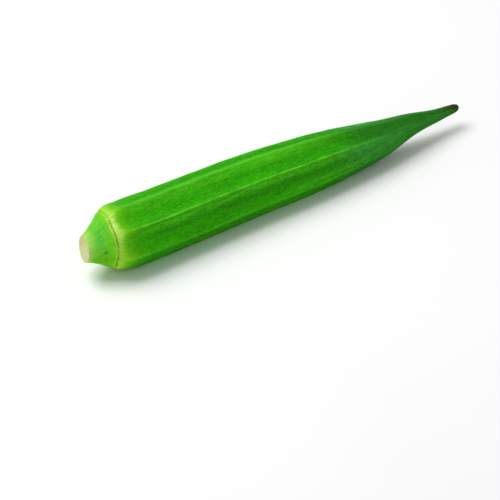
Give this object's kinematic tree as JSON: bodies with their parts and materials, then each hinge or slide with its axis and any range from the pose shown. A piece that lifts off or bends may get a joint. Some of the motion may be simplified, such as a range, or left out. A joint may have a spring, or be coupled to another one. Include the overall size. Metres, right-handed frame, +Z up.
{
  "type": "okra pod",
  "caption": "Fresh okra pod, cut at the stalk, with a pale cap, a ring scar, a long ridged body and a slender dark-tipped beak, lying on its lower ridges",
  "frame": {"origin": "under the middle of the pod's box, on the surface that the pod lies on", "axes": "+X along the pod from the cut stalk to the tip, +Y to the far side of the pod, +Z up"},
  "size_m": [0.141, 0.0226, 0.0219],
  "materials": {
    "okra_skin": "satin, finely downy plant skin, paler at the cap and brown at the tip"
  },
  "bodies": {
    "root": {"okra_pod": "okra_skin"}
  },
  "joints": []
}
